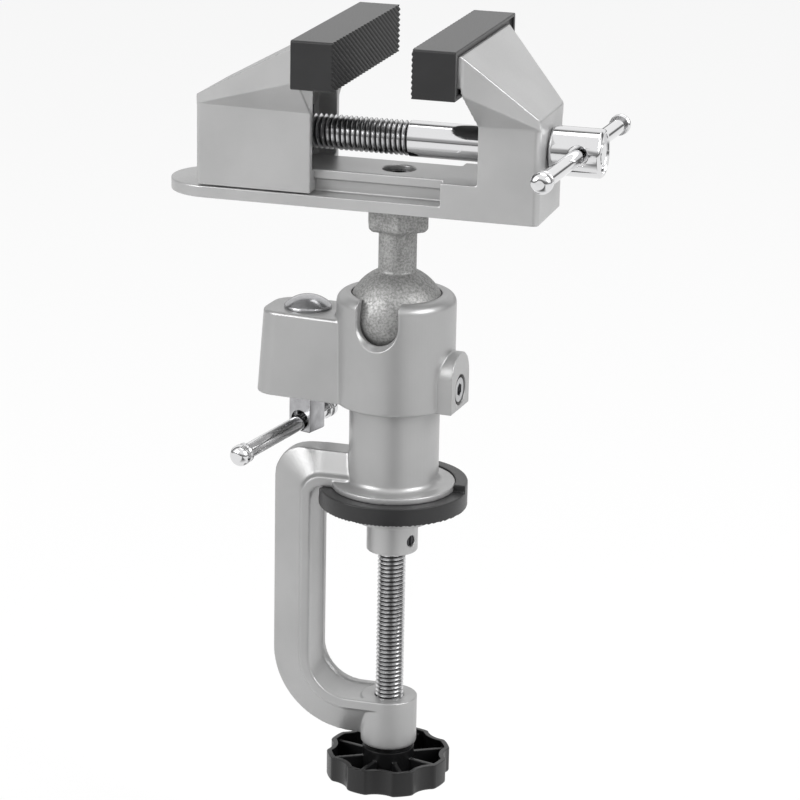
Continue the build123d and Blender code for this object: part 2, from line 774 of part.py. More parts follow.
def vise_body():
    """The base plate, the guide rail and the fixed jaw, cast in one."""
    half = base_half_width
    plate = extrude(Pos(0, 0, base_bottom) * base_plan(), base_thick)
    shoulder = block(shoulder_left, tower_left + tower_wall, -half, half, base_bottom, rail_top_z)
    tower = jaw_tower(tower_right, tower_left, base_bottom, tower_corner)
    body = plate + shoulder + tower
    body += jaw_head(tower_right, tower_left, fixed_seat, tower_corner)
    body += rail() + jaw_nose(fixed_seat, -1)
    inner = half - tower_wall
    body -= block(
        tower_left - 1,
        tower_right - tower_back_wall,
        -inner,
        inner,
        rail_top_z,
        tower_top + 1,
    )
    body -= lying(screw_shank_radius + fit_gap, tower_left, tower_right + 1, screw_z)
    seat = rail_top_z - stem_screw_counterbore_depth
    body -= cylinder(stem_screw_counterbore, seat, rail_top_z + 1)
    body -= cylinder(stem_screw_radius + 0.25, base_bottom - 1, rail_top_z)
    return body - cylinder(
        stem_spigot_radius + fit_gap, base_bottom - 1, base_bottom + stem_spigot_height + 0.2
    )


def moving_jaw():
    """A hollow casting, open on its inner side, whose skirts hook under the rail's lip."""
    half = base_half_width
    bottom = plate_top + moving_gap
    body = jaw_tower(moving_left, moving_right, bottom, moving_corner)
    body += jaw_head(moving_left, moving_right, moving_right, moving_corner)
    body += jaw_nose(moving_right, 1)
    run = (moving_left - 1, moving_right + 1)
    lip = rail_half_width + 0.1
    neck = rail_neck_half_width + 0.1
    neck_top = rail_top_z - rail_lip_thick
    body -= block(*run, -lip, lip, neck_top - 0.1, rail_top_z + 0.1)
    body -= block(*run, -neck, neck, bottom - 1, neck_top)
    inner = half - moving_wall
    pocket_top = base_bottom + moving_pocket_top
    front = block(nut_wall_right, moving_right + 1, -inner, inner, rail_top_z, pocket_top)
    back = block(
        moving_left + moving_wall, nut_wall_left, -inner, inner, rail_top_z, tower_top - 1
    )
    body -= front + back
    body -= lying(screw_end_clear_radius, moving_left - 1, nut_wall_left + 1, screw_z)
    body -= lying(screw_radius + 0.5, nut_wall_left - 1, nut_wall_right + 1, screw_z)
    return body - jaw_nut_block(fit_gap / 2, nut_wall_right + 1)


def jaw_nut_block(grow, end):
    side = jaw_nut_side / 2 + grow
    start = nut_wall_right - jaw_nut_length - grow
    low = rail_top_z + 1.4
    high = low + jaw_nut_side * 0.85
    return block(start, end, -side, side, low - grow, high + grow)


def jaw_nut():
    """The steel nut that sits in the moving jaw's cross wall."""
    return jaw_nut_block(0, nut_wall_right) - lying(
        screw_radius + fit_gap, nut_wall_left - 1, nut_wall_right + 1, screw_z
    )


def jaw_cap(seat, toward):
    """A rubber cap with one open side, pulled over a jaw's nose."""
    start = seat + toward * seat_gap
    end = start + toward * cap_length
    low = base_bottom + cap_low
    half = cap_width / 2
    body = block(min(start, end), max(start, end), -half, half, low, low + cap_height)
    return fillet(body.edges().filter_by(Axis.X), 0.8) - hollow(start, toward)


def moving_jaw_cap():
    return jaw_cap(moving_right, 1)


def fixed_jaw_cap():
    return jaw_cap(fixed_seat, -1)


def hollow(start, toward):
    """The room for a jaw's nose inside its cap, and the wider mouth for the jaw's front."""
    wide = jaw_width / 2 - jaw_nose_side + fit_gap
    middle = base_bottom + cap_low + cap_height / 2
    reach = jaw_nose_height / 2 + fit_gap
    root = start - toward
    end = start + toward * (jaw_nose_length + fit_gap)
    low, high = middle - reach, middle + reach
    room = block(min(root, end), max(root, end), -wide, wide, low, high)
    end = start + toward * cap_mouth_depth
    wide = cap_width / 2 - cap_wall
    reach = cap_height / 2 - cap_rim
    low, high = middle - reach, middle + reach
    return room + block(min(root, end), max(root, end), -wide, wide, low, high)


# ================================================================ jaw screw
def jaw_screw():
    """Threaded end, plain at its crest, a smooth shank with a clip groove, and a drilled head."""
    head_left = tower_right + screw_head_gap
    body = lying(screw_radius, screw_left, screw_thread_end, screw_z)
    body += lying(screw_shank_radius, screw_thread_end, head_left, screw_z)
    head = lying(screw_head_radius, head_left, head_left + screw_head_length, screw_z)
    head = chamfer(head.edges().filter_by(GeomType.CIRCLE), 0.8)
    end = head_left + screw_head_length
    recess = lying(screw_head_radius - screw_head_rim, end - screw_head_recess, end + 1, screw_z)
    body += head - (recess - lying(screw_head_stub_radius, head_left, end - 0.3, screw_z))
    left, right = clip_span()
    groove = lying(screw_radius + 2, left - 0.05, right + 0.05, screw_z)
    groove -= lying(screw_shank_radius - clip_groove, left - 1, right + 1, screw_z)
    body -= groove
    return body - tommy_frame() * Cylinder(tommy_hole_radius, 4 * screw_head_radius)


def clip_span():
    right = tower_right - tower_back_wall - 0.1
    return right - clip_thick, right


def screw_clip():
    """The open ring that keeps the screw from pulling out of the fixed jaw."""
    left, right = clip_span()
    body = lying(clip_radius, left, right, screw_z)
    body -= lying(screw_shank_radius - clip_groove + fit_gap, left - 1, right + 1, screw_z)
    mouth = screw_shank_radius - clip_groove - 0.6
    return body - block(left - 1, right + 1, -mouth, mouth, screw_z - 2 * clip_radius, screw_z)


def tommy_frame():
    """Where the tommy bar lies: its own Z runs along it, towards the back."""
    return Pos(tommy_place, 0, screw_z) * Rot(tommy_turn, 0, 0) * Rot(-90, 0, 0)


def tommy_bar():
    return tommy_frame() * Cylinder(tommy_radius, 2 * tommy_half_length)


def tommy_caps():
    cap = bar_cap(tommy_cap_radius, tommy_cap_length, tommy_radius)
    near = Pos(0, 0, -tommy_half_length) * Rot(180, 0, 0) * cap
    far = Pos(0, 0, tommy_half_length) * cap
    return tommy_frame() * Compound(children=[near, far])


nodes = {
    "c_frame": c_frame,
    "table_pad": table_pad,
    "clamp_screw": clamp_screw,
    "knob": knob,
    "foot": foot,
    "foot_face": foot_face,
    "foot_set_screw": foot_set_screw,
    "swivel_housing": swivel_housing,
    "swivel_screw": swivel_screw,
    "lock_bolt": lock_bolt,
    "lock_wedge": lock_wedge,
    "lock_nut": lock_nut,
    "lock_bar": lock_bar,
    "lock_bar_caps": lock_bar_caps,
    "ball_stem": ball_stem,
    "stem_screw": stem_screw,
    "vise_body": vise_body,
    "fixed_jaw_cap": fixed_jaw_cap,
    "moving_jaw": moving_jaw,
    "moving_jaw_cap": moving_jaw_cap,
    "jaw_nut": jaw_nut,
    "jaw_screw": jaw_screw,
    "screw_clip": screw_clip,
    "tommy_bar": tommy_bar,
    "tommy_caps": tommy_caps,
}

os.makedirs("parts", exist_ok=True)
for name, make in nodes.items():
    export_step(make(), f"parts/{name}.step")
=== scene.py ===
"""Ball vise over a table clamp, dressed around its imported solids: a silver-enamelled jaw vise
on a rough-cast ball, a chromed jaw screw and bars, black rubber jaw caps and a black clamp knob."""

import json
import math

import bmesh
import bpy
from mathutils import Matrix, Vector

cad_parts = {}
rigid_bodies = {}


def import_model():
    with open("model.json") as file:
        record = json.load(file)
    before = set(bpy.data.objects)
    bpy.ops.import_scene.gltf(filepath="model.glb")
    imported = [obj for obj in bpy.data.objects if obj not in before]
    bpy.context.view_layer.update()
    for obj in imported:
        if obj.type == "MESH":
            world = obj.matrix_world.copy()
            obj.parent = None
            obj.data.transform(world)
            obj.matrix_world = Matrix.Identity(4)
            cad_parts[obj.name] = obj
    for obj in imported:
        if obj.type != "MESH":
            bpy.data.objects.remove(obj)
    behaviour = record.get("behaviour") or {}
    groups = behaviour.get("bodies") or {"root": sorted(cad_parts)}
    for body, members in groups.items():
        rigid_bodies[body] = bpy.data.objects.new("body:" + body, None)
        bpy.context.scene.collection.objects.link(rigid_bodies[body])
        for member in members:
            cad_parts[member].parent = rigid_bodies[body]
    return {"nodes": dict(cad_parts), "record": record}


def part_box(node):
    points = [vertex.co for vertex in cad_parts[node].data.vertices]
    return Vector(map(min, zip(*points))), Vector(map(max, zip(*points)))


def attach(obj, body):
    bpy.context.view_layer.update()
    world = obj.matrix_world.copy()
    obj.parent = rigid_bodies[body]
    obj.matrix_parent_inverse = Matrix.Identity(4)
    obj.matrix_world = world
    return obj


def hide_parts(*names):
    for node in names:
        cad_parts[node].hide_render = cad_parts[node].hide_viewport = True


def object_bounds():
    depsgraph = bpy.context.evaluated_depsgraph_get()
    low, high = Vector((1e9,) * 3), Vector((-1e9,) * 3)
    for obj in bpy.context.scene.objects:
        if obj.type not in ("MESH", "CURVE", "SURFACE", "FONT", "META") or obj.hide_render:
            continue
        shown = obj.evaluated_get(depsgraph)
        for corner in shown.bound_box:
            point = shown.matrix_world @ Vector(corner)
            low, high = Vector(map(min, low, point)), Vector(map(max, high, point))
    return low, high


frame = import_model()
cad_low, cad_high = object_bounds()

bl_info = {
    "name": "Ball Vise",
    "version": (1, 0, 0),
    "blender": (4, 5, 0),
    "location": "3D View > Sidebar > Ball Vise",
    "description": "Models and finishes a ball vise with a table clamp around its solids",
    "category": "Object",
}

MM = 0.001
MERGE = 0.001 * MM  # vertices closer than this are one
# the thread and rubber finishes darken the bottom of a groove with it, as painted shade
GROOVE = "groove_depth"  # a mesh attribute: 1 at the bottom of a thread or a rib, 0 at its top

RECORD = frame["record"]
JOINTS = {joint["name"]: joint for joint in RECORD["behaviour"]["joints"]}
BODY_OF = {node: body for body, nodes in RECORD["behaviour"]["bodies"].items() for node in nodes}
SLOT_OF = {part["node"]: part["material_slot"] for part in RECORD["subparts"]}


# ---------------------------------------------------------------- settings in the sidebar
def length_setting(name, description, millimetres):
    return bpy.props.FloatProperty(
        name=name,
        description=description,
        default=millimetres * MM,
        min=0.0,
        unit="LENGTH",
        subtype="DISTANCE",
        precision=5,
    )


def colour_setting(name, description, value):
    return bpy.props.StringProperty(name=name, description=description, default=value)


class BallViseSizes(bpy.types.PropertyGroup):
    fine_edge: length_setting("Fine edge", "Rounding of turned and stamped edges", 0.3)
    clamp_pitch: length_setting("Clamp thread pitch", "Pitch of the clamp screw", 1.5)
    jaw_pitch: length_setting("Jaw thread pitch", "Pitch of the jaw screw", 1.75)
    rib_pitch: length_setting("Jaw rib pitch", "Spacing of the ribs on the jaw caps", 1.6)
    rib_depth: length_setting("Jaw rib depth", "Depth of the ribs on the jaw caps", 0.75)
    grip_pitch: length_setting("Pad grip pitch", "Spacing of the table pad's teeth", 1.4)
    grip_depth: length_setting("Pad grip depth", "Depth of the table pad's teeth", 0.55)


class BallViseColours(bpy.types.PropertyGroup):
    enamel: colour_setting("Silver enamel", "Paint of the castings", "#B1B1B1")
    casting: colour_setting("Bare casting", "Colour of the ball and stem", "#959594")
    chrome: colour_setting("Chrome", "Plating of the jaw screw and bars", "#E2E2E3")
    zinc: colour_setting("Zinc", "Plating of the lock bolt and nut", "#B2B2B4")
    black_oxide: colour_setting("Black oxide", "Small blackened screws", "#444446")
    rubber: colour_setting("Rubber", "Jaw caps and table pad", "#19191A")
    plastic: colour_setting("Plastic", "Clamp knob", "#0F0F10")
    floor: colour_setting("Floor", "Floor under the object", "#F2F2F2")


def sizes():
    return bpy.context.scene.ball_vise_sizes


def colours():
    return bpy.context.scene.ball_vise_colours


# ---------------------------------------------------------------- materials
NOISE = "ShaderNodeTexNoise"
RANGE = "ShaderNodeMapRange"
MATHS = "ShaderNodeMath"
BLEND = "ShaderNodeMix"
BUMP = "ShaderNodeBump"
FIRST, SECOND, BLENDED = 6, 7, 2  # a mix of colours: its two colour inputs and its output


def linear(code):
    """An sRGB hex value as linear red, green, blue and alpha."""
    channels = [int(code[i : i + 2], 16) / 255 for i in (1, 3, 5)]
    return [c / 12.92 if c <= 0.04045 else ((c + 0.055) / 1.055) ** 2.4 for c in channels] + [1.0]


def shade(code, factor):
    """The same colour made darker or lighter in linear light."""
    return [min(1.0, c * factor) for c in linear(code)[:3]] + [1.0]


def features(millimetres):
    """The scale of a noise whose features are about that many millimetres across."""
    return 1.0 / (millimetres * MM)


def feed(tree, node, inputs):
    """Gives each input of a node its value, or links it to another node's output."""
    for name, value in inputs.items():
        if isinstance(value, bpy.types.NodeSocket):
            tree.links.new(value, node.inputs[name])
        else:
            node.inputs[name].default_value = value


def add(tree, kind, inputs=None, **settings):
    """A shader node with its settings, its inputs' values and its links."""
    made = tree.nodes.new(kind)
    for name, value in settings.items():
        setattr(made, name, value)
    feed(tree, made, inputs or {})
    return made


def start_material(name):
    """An empty material with object coordinates, a shader and its output."""
    material = bpy.data.materials.new(name)
    material.use_nodes = True
    tree = material.node_tree
    tree.nodes.clear()
    place = add(tree, "ShaderNodeTexCoord").outputs["Object"]
    shader = add(tree, "ShaderNodeBsdfPrincipled")
    add(tree, "ShaderNodeOutputMaterial", {"Surface": shader.outputs["BSDF"]})
    return material, tree, place, shader


def silver_enamel(name="silver_enamel", level=1.0):
    """Sprayed silver enamel on die-cast aluminium: a soft satin sheen over a faint orange peel."""
    material, tree, place, shader = start_material(name)
    cloud = add(tree, NOISE, {"Vector": place, "Scale": features(22), "Detail": 3.0})
    flake = add(tree, NOISE, {"Vector": place, "Scale": features(0.35), "Detail": 1.0})
    peel = add(tree, NOISE, {"Vector": place, "Scale": features(1.8), "Detail": 2.0})
    tone = add(tree, RANGE, {"Value": cloud.outputs["Fac"], "From Min": 0.35, "From Max": 0.65})
    # a level below 1 darkens the whole colour as painted shade, for the housing and the clamp frame
    colour = add(
        tree,
        BLEND,
        {
            "Factor": tone.outputs["Result"],
            FIRST: shade(colours().enamel, 0.96 * level),
            SECOND: shade(colours().enamel, 1.04 * level),
        },
        data_type="RGBA",
    )
    gloss = {"From Min": 0.3, "From Max": 0.7, "To Min": 0.3, "To Max": 0.42}
    rough = add(tree, RANGE, {"Value": flake.outputs["Fac"], **gloss})
    relief = {"Strength": 0.25, "Distance": 0.04 * MM}
    skin = add(tree, BUMP, {"Height": peel.outputs["Fac"], **relief})
    look = {
        "Base Color": colour.outputs[BLENDED],
        "Metallic": 0.55,
        "Roughness": rough.outputs["Result"],
        "Normal": skin.outputs["Normal"],
    }
    feed(tree, shader, look)
    return material


def housing_enamel_painted_shade():
    """The same enamel on the swivel housing, its colour darkened a little as painted shade."""
    return silver_enamel("silver_enamel_housing_painted_shade", 0.86)


def frame_enamel_painted_shade():
    """The same enamel on the clamp frame, its colour a little darker than on the vise as painted
    shade.
    """
    return silver_enamel("silver_enamel_frame_painted_shade", 0.9)


def rough_casting():
    """Tumbled bare casting: finely pitted and speckled, brighter where it has rubbed.

    Its flecks, under 0.5 mm in the photograph, are drawn at 0.8 mm so that they show."""
    material, tree, place, shader = start_material("rough_casting")
    cloud = add(tree, NOISE, {"Vector": place, "Scale": features(5), "Detail": 3.0})
    grit = {"Scale": features(0.8), "Detail": 4.0, "Roughness": 0.7}
    speckle = add(tree, NOISE, {"Vector": place, **grit}).outputs["Fac"]
    fleck = add(
        tree, RANGE, {"Value": speckle, "From Min": 0.3, "From Max": 0.7, "To Max": 0.65}
    )
    mottle = add(
        tree,
        MATHS,
        {0: cloud.outputs["Fac"], 1: 0.35, 2: fleck.outputs["Result"]},
        operation="MULTIPLY_ADD",
    )
    tone = add(tree, RANGE, {"Value": mottle.outputs[0], "From Min": 0.3, "From Max": 0.7})
    colour = add(
        tree,
        BLEND,
        {
            "Factor": tone.outputs["Result"],
            FIRST: shade(colours().casting, 0.72),
            SECOND: shade(colours().casting, 1.3),
        },
        data_type="RGBA",
    )
    gloss = {"From Min": 0.35, "From Max": 0.65, "To Min": 0.58, "To Max": 0.4}
    rough = add(tree, RANGE, {"Value": speckle, **gloss})
    pits = add(tree, BUMP, {"Height": speckle, "Strength": 0.7, "Distance": 0.18 * MM})
    look = {
        "Base Color": colour.outputs[BLENDED],
        "Metallic": 0.6,
        "Roughness": rough.outputs["Result"],
        "Normal": pits.outputs["Normal"],
    }
    feed(tree, shader, look)
    return material


def chrome():
    """Bright chrome plating: near mirror, with a faint waviness of the ground steel under it."""
    material, tree, place, shader = start_material("bright_chrome")
    wave = add(tree, NOISE, {"Vector": place, "Scale": features(3), "Detail": 2.0})
    scratches = {"Scale": features(0.9), "Detail": 4.0, "Roughness": 0.7}
    scuff = add(tree, NOISE, {"Vector": place, **scratches})
    gloss = {"From Min": 0.35, "From Max": 0.7, "To Min": 0.05, "To Max": 0.12}
    rough = add(tree, RANGE, {"Value": scuff.outputs["Fac"], **gloss})
    relief = {"Strength": 0.15, "Distance": 0.06 * MM}
    skin = add(tree, BUMP, {"Height": wave.outputs["Fac"], **relief})
    look = {
        "Base Color": linear(colours().chrome),
        "Metallic": 1.0,
        "Roughness": rough.outputs["Result"],
        "Normal": skin.outputs["Normal"],
    }
    feed(tree, shader, look)
    return material


def rolled_thread():
    """Plated thread: mottled plating on its crests, and painted shade that darkens it towards the
    roots, which are also rougher; the two are told apart by their depth.
    """
    material, tree, place, shader = start_material("rolled_thread_steel")
    groove = add(tree, "ShaderNodeAttribute", attribute_name=GROOVE).outputs["Fac"]
    film = add(tree, NOISE, {"Vector": place, "Scale": features(1.2), "Detail": 3.0})
    tone = add(tree, RANGE, {"Value": film.outputs["Fac"], "From Min": 0.35, "From Max": 0.65})
    flank = add(
        tree,
        BLEND,
        {
            "Factor": tone.outputs["Result"],
            FIRST: shade(colours().chrome, 0.8),
            SECOND: shade(colours().chrome, 1.05),
        },
        data_type="RGBA",
    )
    # painted shade: the colour turns near black towards the roots of the thread
    painted_root_shade = add(tree, RANGE, {"Value": groove, "From Min": 0.25, "From Max": 1.0})
    colour = add(
        tree,
        BLEND,
        {
            "Factor": painted_root_shade.outputs["Result"],
            FIRST: flank.outputs[BLENDED],
            SECOND: shade(colours().chrome, 0.06),
        },
        data_type="RGBA",
    )
    rough = add(tree, RANGE, {"Value": groove, "To Min": 0.14, "To Max": 0.34})
    look = {
        "Base Color": colour.outputs[BLENDED],
        "Metallic": 1.0,
        "Roughness": rough.outputs["Result"],
    }
    feed(tree, shader, look)
    return material


def zinc_plate():
    """Bright zinc plating on pressed steel, faintly clouded and finely scratched."""
    material, tree, place, shader = start_material("zinc_plate")
    cloud = add(tree, NOISE, {"Vector": place, "Scale": features(3.5), "Detail": 3.0})
    scratch = add(tree, NOISE, {"Vector": place, "Scale": features(0.3), "Detail": 3.0})
    tone = add(tree, RANGE, {"Value": cloud.outputs["Fac"], "From Min": 0.35, "From Max": 0.65})
    colour = add(
        tree,
        BLEND,
        {
            "Factor": tone.outputs["Result"],
            FIRST: shade(colours().zinc, 0.9),
            SECOND: shade(colours().zinc, 1.08),
        },
        data_type="RGBA",
    )
    gloss = {"From Min": 0.3, "From Max": 0.7, "To Min": 0.26, "To Max": 0.18}
    rough = add(tree, RANGE, {"Value": cloud.outputs["Fac"], **gloss})
    relief = {"Strength": 0.06, "Distance": 0.02 * MM}
    skin = add(tree, BUMP, {"Height": scratch.outputs["Fac"], **relief})
    look = {
        "Base Color": colour.outputs[BLENDED],
        "Metallic": 1.0,
        "Roughness": rough.outputs["Result"],
        "Normal": skin.outputs["Normal"],
    }
    feed(tree, shader, look)
    return material


def black_oxide():
    """Darkened screw steel with an oily gloss."""
    material, tree, place, shader = start_material("black_oxide_steel")
    film = add(tree, NOISE, {"Vector": place, "Scale": features(0.8), "Detail": 3.0})
    gloss = {"From Min": 0.3, "From Max": 0.7, "To Min": 0.2, "To Max": 0.34}
    rough = add(tree, RANGE, {"Value": film.outputs["Fac"], **gloss})
    look = {
        "Base Color": linear(colours().black_oxide),
        "Metallic": 1.0,
        "Roughness": rough.outputs["Result"],
    }
    feed(tree, shader, look)
    return material


def moulded_rubber():
    """Moulded black rubber: low sheen and fine grain, dusted with bloom, and painted shade that
    turns it near black and rougher down in its ribs.
    """
    material, tree, place, shader = start_material("moulded_rubber")
    groove = add(tree, "ShaderNodeAttribute", attribute_name=GROOVE).outputs["Fac"]
    grain = add(tree, NOISE, {"Vector": place, "Scale": features(0.4), "Detail": 3.0})
    bloom = add(tree, NOISE, {"Vector": place, "Scale": features(9), "Detail": 3.0})
    dust = add(tree, RANGE, {"Value": bloom.outputs["Fac"], "From Min": 0.3, "From Max": 0.7})
    skin = add(
        tree,
        BLEND,
        {
            "Factor": dust.outputs["Result"],
            FIRST: shade(colours().rubber, 0.85),
            SECOND: shade(colours().rubber, 1.2),
        },
        data_type="RGBA",
    )
    # painted shade: the colour darkens towards the bottom of the ribs
    depth = add(tree, RANGE, {"Value": groove, "From Min": 0.1, "From Max": 0.8})
    colour = add(
        tree,
        BLEND,
        {
            "Factor": depth.outputs["Result"],
            FIRST: skin.outputs[BLENDED],
            SECOND: shade(colours().rubber, 0.2),
        },
        data_type="RGBA",
    )
    gloss = {"From Min": 0.3, "From Max": 0.7, "To Min": 0.33, "To Max": 0.46}
    front = add(tree, RANGE, {"Value": grain.outputs["Fac"], **gloss})
    rough = add(
        tree, MATHS, {0: groove, 1: 0.4, 2: front.outputs["Result"]}, operation="MULTIPLY_ADD"
    )
    relief = {"Strength": 0.3, "Distance": 0.05 * MM}
    pores = add(tree, BUMP, {"Height": grain.outputs["Fac"], **relief})
    look = {
        "Base Color": colour.outputs[BLENDED],
        "Roughness": rough.outputs[0],
        "Sheen Weight": 0.07,
        "Sheen Roughness": 0.5,
        "Normal": pores.outputs["Normal"],
    }
    feed(tree, shader, look)
    return material


def moulded_plastic():
    """Glass-filled nylon, moulded: satin black with a slight sheen on its edges."""
    material, tree, place, shader = start_material("moulded_nylon")
    grain = add(tree, NOISE, {"Vector": place, "Scale": features(0.5), "Detail": 3.0})
    gloss = {"From Min": 0.3, "From Max": 0.7, "To Min": 0.28, "To Max": 0.4}
    rough = add(tree, RANGE, {"Value": grain.outputs["Fac"], **gloss})
    relief = {"Strength": 0.2, "Distance": 0.04 * MM}
    skin = add(tree, BUMP, {"Height": grain.outputs["Fac"], **relief})
    look = {
        "Base Color": linear(colours().plastic),
        "Roughness": rough.outputs["Result"],
        "Normal": skin.outputs["Normal"],
    }
    feed(tree, shader, look)
    return material


FINISH_MAKERS = {
    "cast_paint": silver_enamel,
    # housing_paint and frame_paint are the same enamel, darkened as painted shade
    "housing_paint": housing_enamel_painted_shade,
    "frame_paint": frame_enamel_painted_shade,
    "plain_casting": rough_casting,
    "chromed_steel": chrome,
    "thread": rolled_thread,
    "plated_steel": zinc_plate,
    "dark_steel": black_oxide,
    "black_rubber": moulded_rubber,
    "black_plastic": moulded_plastic,
}
FINISHES = {}  # what has been made so far


def finish(name):
    """The material of that name, made once."""
    if name not in FINISHES:
        FINISHES[name] = FINISH_MAKERS[name]()
    return FINISHES[name]


def paint(piece, material):
    """One material over the whole piece."""
    piece.data.materials.clear()
    piece.data.materials.append(material)
    for face in piece.data.polygons:
        face.material_index = 0


# ---------------------------------------------------------------- modelling steps
FLAT_ANGLE = 0.6  # degrees: triangles that turn less than this are one flat face


def only(piece=None):
    """Leaves edit mode, selects nothing but the piece and makes it active."""
    if bpy.context.object is not None and bpy.context.object.mode != "OBJECT":
        bpy.ops.object.mode_set(mode="OBJECT")
    bpy.ops.object.select_all(action="DESELECT")
    if piece is not None:
        piece.select_set(True)
        bpy.context.view_layer.objects.active = piece


def edit_all(piece):
    """Opens a piece in edit mode with all of it selected."""
    only(piece)
    bpy.ops.object.mode_set(mode="EDIT")
    bpy.ops.mesh.select_all(action="SELECT")


def choose_vertices(test):
    """In edit mode, selects just the vertices that pass a test."""
    bpy.ops.mesh.select_mode(type="VERT")
    bpy.ops.mesh.select_all(action="DESELECT")
    mesh = bmesh.from_edit_mesh(bpy.context.object.data)
    for vertex in mesh.verts:
        if test(vertex):
            vertex.select_set(True)
    mesh.select_flush_mode()
    bmesh.update_edit_mesh(bpy.context.object.data)


def apply_modifier(piece, kind, **settings):
    only(piece)
    bpy.ops.object.modifier_add(type=kind)
    modifier = piece.modifiers[-1]
    for name, value in settings.items():
        setattr(modifier, name, value)
    bpy.ops.object.modifier_apply(modifier=modifier.name)


def settle(piece, place=None):
    """Puts a finished piece at its place, with its place in its mesh."""
    only(piece)
    if place is not None:
        piece.matrix_world = place
    bpy.context.view_layer.update()
    bpy.ops.object.transform_apply(location=True, rotation=True, scale=True)


def smooth(piece, degrees):
    """Smooth shading between faces that meet at less than an angle, with the flats kept flat."""
    only(piece)
    bpy.ops.object.shade_smooth_by_angle(angle=math.radians(degrees))
    apply_modifier(piece, "WEIGHTED_NORMAL", keep_sharp=True)


def clean_up(piece):
    """Merges doubles and turns all faces outwards."""
    edit_all(piece)
    bpy.ops.mesh.remove_doubles(threshold=MERGE)
    bpy.ops.mesh.normals_make_consistent(inside=False)
    bpy.ops.object.mode_set(mode="OBJECT")


def copy_node(node, name):
    """A merged copy of a node's mesh, with its flat faces made whole again."""
    only(frame["nodes"][node])
    bpy.ops.object.duplicate()
    piece = bpy.context.object
    piece.name = name
    bpy.ops.object.parent_clear(type="CLEAR_KEEP_TRANSFORM")
    for key in list(piece.keys()):
        del piece[key]
    edit_all(piece)
    bpy.ops.mesh.remove_doubles(threshold=MERGE)
    bpy.ops.mesh.customdata_custom_splitnormals_clear()
    bpy.ops.mesh.dissolve_limited(angle_limit=math.radians(FLAT_ANGLE))
    bpy.ops.object.mode_set(mode="OBJECT")
    return piece


def deliver(piece, node, material):
    """A finished piece: its finish, the body that it rides on and the node that it stands for."""
    paint(piece, finish(material))
    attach(piece, BODY_OF[node])
    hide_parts(node)


def round_edges(piece, width, degrees):
    """Rounds the edges that turn by more than an angle."""
    apply_modifier(
        piece,
        "BEVEL",
        width=width,
        segments=2,
        limit_method="ANGLE",
        angle_limit=math.radians(degrees),
        use_clamp_overlap=False,
        harden_normals=False,
    )


def soften(piece, cell, passes, keep):
    """Rebuilds a casting on a fine grid and relaxes it, which rounds its edges and its corners."""
    apply_modifier(piece, "REMESH", mode="VOXEL", voxel_size=cell, use_smooth_shade=True)
    apply_modifier(piece, "SMOOTH", factor=0.5, iterations=passes)
    apply_modifier(piece, "DECIMATE", decimate_type="COLLAPSE", ratio=keep)
    only(piece)
    bpy.ops.object.shade_smooth()
    apply_modifier(piece, "WEIGHTED_NORMAL")


def along(origin, axis, side):
    """A place whose Z runs along an axis, with its X square to a side."""
    axis = Vector(axis).normalized()
    x = Vector(side).cross(axis).normalized()
    y = axis.cross(x)
    turn = Matrix((x, y, axis)).transposed().to_4x4()
    return Matrix.Translation(origin) @ turn


def cut(end, normal):
    """In edit mode, cuts everything off beyond a plane and closes the cut."""
    bpy.ops.mesh.select_all(action="SELECT")
    bpy.ops.mesh.bisect(plane_co=end, plane_no=normal, use_fill=True, clear_outer=True)


def shorten(piece, end, normal):
    """Cuts a copy of a node off beyond a plane."""
    edit_all(piece)
    cut(end, normal)
    bpy.ops.object.mode_set(mode="OBJECT")


def close_block(height, level):
    """In edit mode, extrudes a whole sheet by a height and flattens its far side at a level."""
    bpy.ops.mesh.select_mode(type="FACE")
    bpy.ops.mesh.select_all(action="SELECT")
    bpy.ops.mesh.extrude_region_move(TRANSFORM_OT_translate={"value": (0, 0, height)})
    bpy.ops.transform.resize(value=(1, 1, 0), center_override=(0, 0, level))
    bpy.ops.object.mode_set(mode="OBJECT")


def carve(piece, cutter):
    """Takes the cutter's volume out of the piece and removes the cutter."""
    apply_modifier(piece, "BOOLEAN", object=cutter, operation="DIFFERENCE", solver="EXACT")
    only(cutter)
    bpy.ops.object.delete()


# ---------------------------------------------------------------- the castings
# cell of the grid in millimetres, rounds of smoothing, share of the faces kept, coat
CASTINGS = {
    "c_frame": (0.38, 3, 0.25, "frame_paint"),
    "swivel_housing": (0.22, 4, 0.2, "housing_paint"),
    "vise_body": (0.34, 3, 0.22, "cast_paint"),
    "moving_jaw": (0.3, 3, 0.22, "cast_paint"),
    "foot": (0.25, 3, 0.35, "cast_paint"),
}
BALL_CASTING = (0.35, 4, 0.4, "plain_casting")


def dress_casting(node, cell, passes, keep, coat):
    piece = copy_node(node, node + "_cast")
    soften(piece, cell * MM, passes, keep)
    deliver(piece, node, coat)


class DressCastings(bpy.types.Operator):
    """Rounds the edges of the enamelled castings and of the clamp's foot"""

    bl_idname = "ball_vise.castings"
    bl_label = "Castings"

    def execute(self, context):
        for node, making in CASTINGS.items():
            dress_casting(node, *making)
        return {"FINISHED"}


class DressBall(bpy.types.Operator):
    """Smooths the bare cast ball, neck and collar"""

    bl_idname = "ball_vise.ball"
    bl_label = "Ball stem"

    def execute(self, context):
        dress_casting("ball_stem", *BALL_CASTING)
        return {"FINISHED"}


# ---------------------------------------------------------------- the rubber pieces
RIB_SLOPE = 29.0  # degrees of the ribs on the jaw caps, from level
SHARP_CORNER = 50  # degrees: only corners sharper than this are rounded on rubber


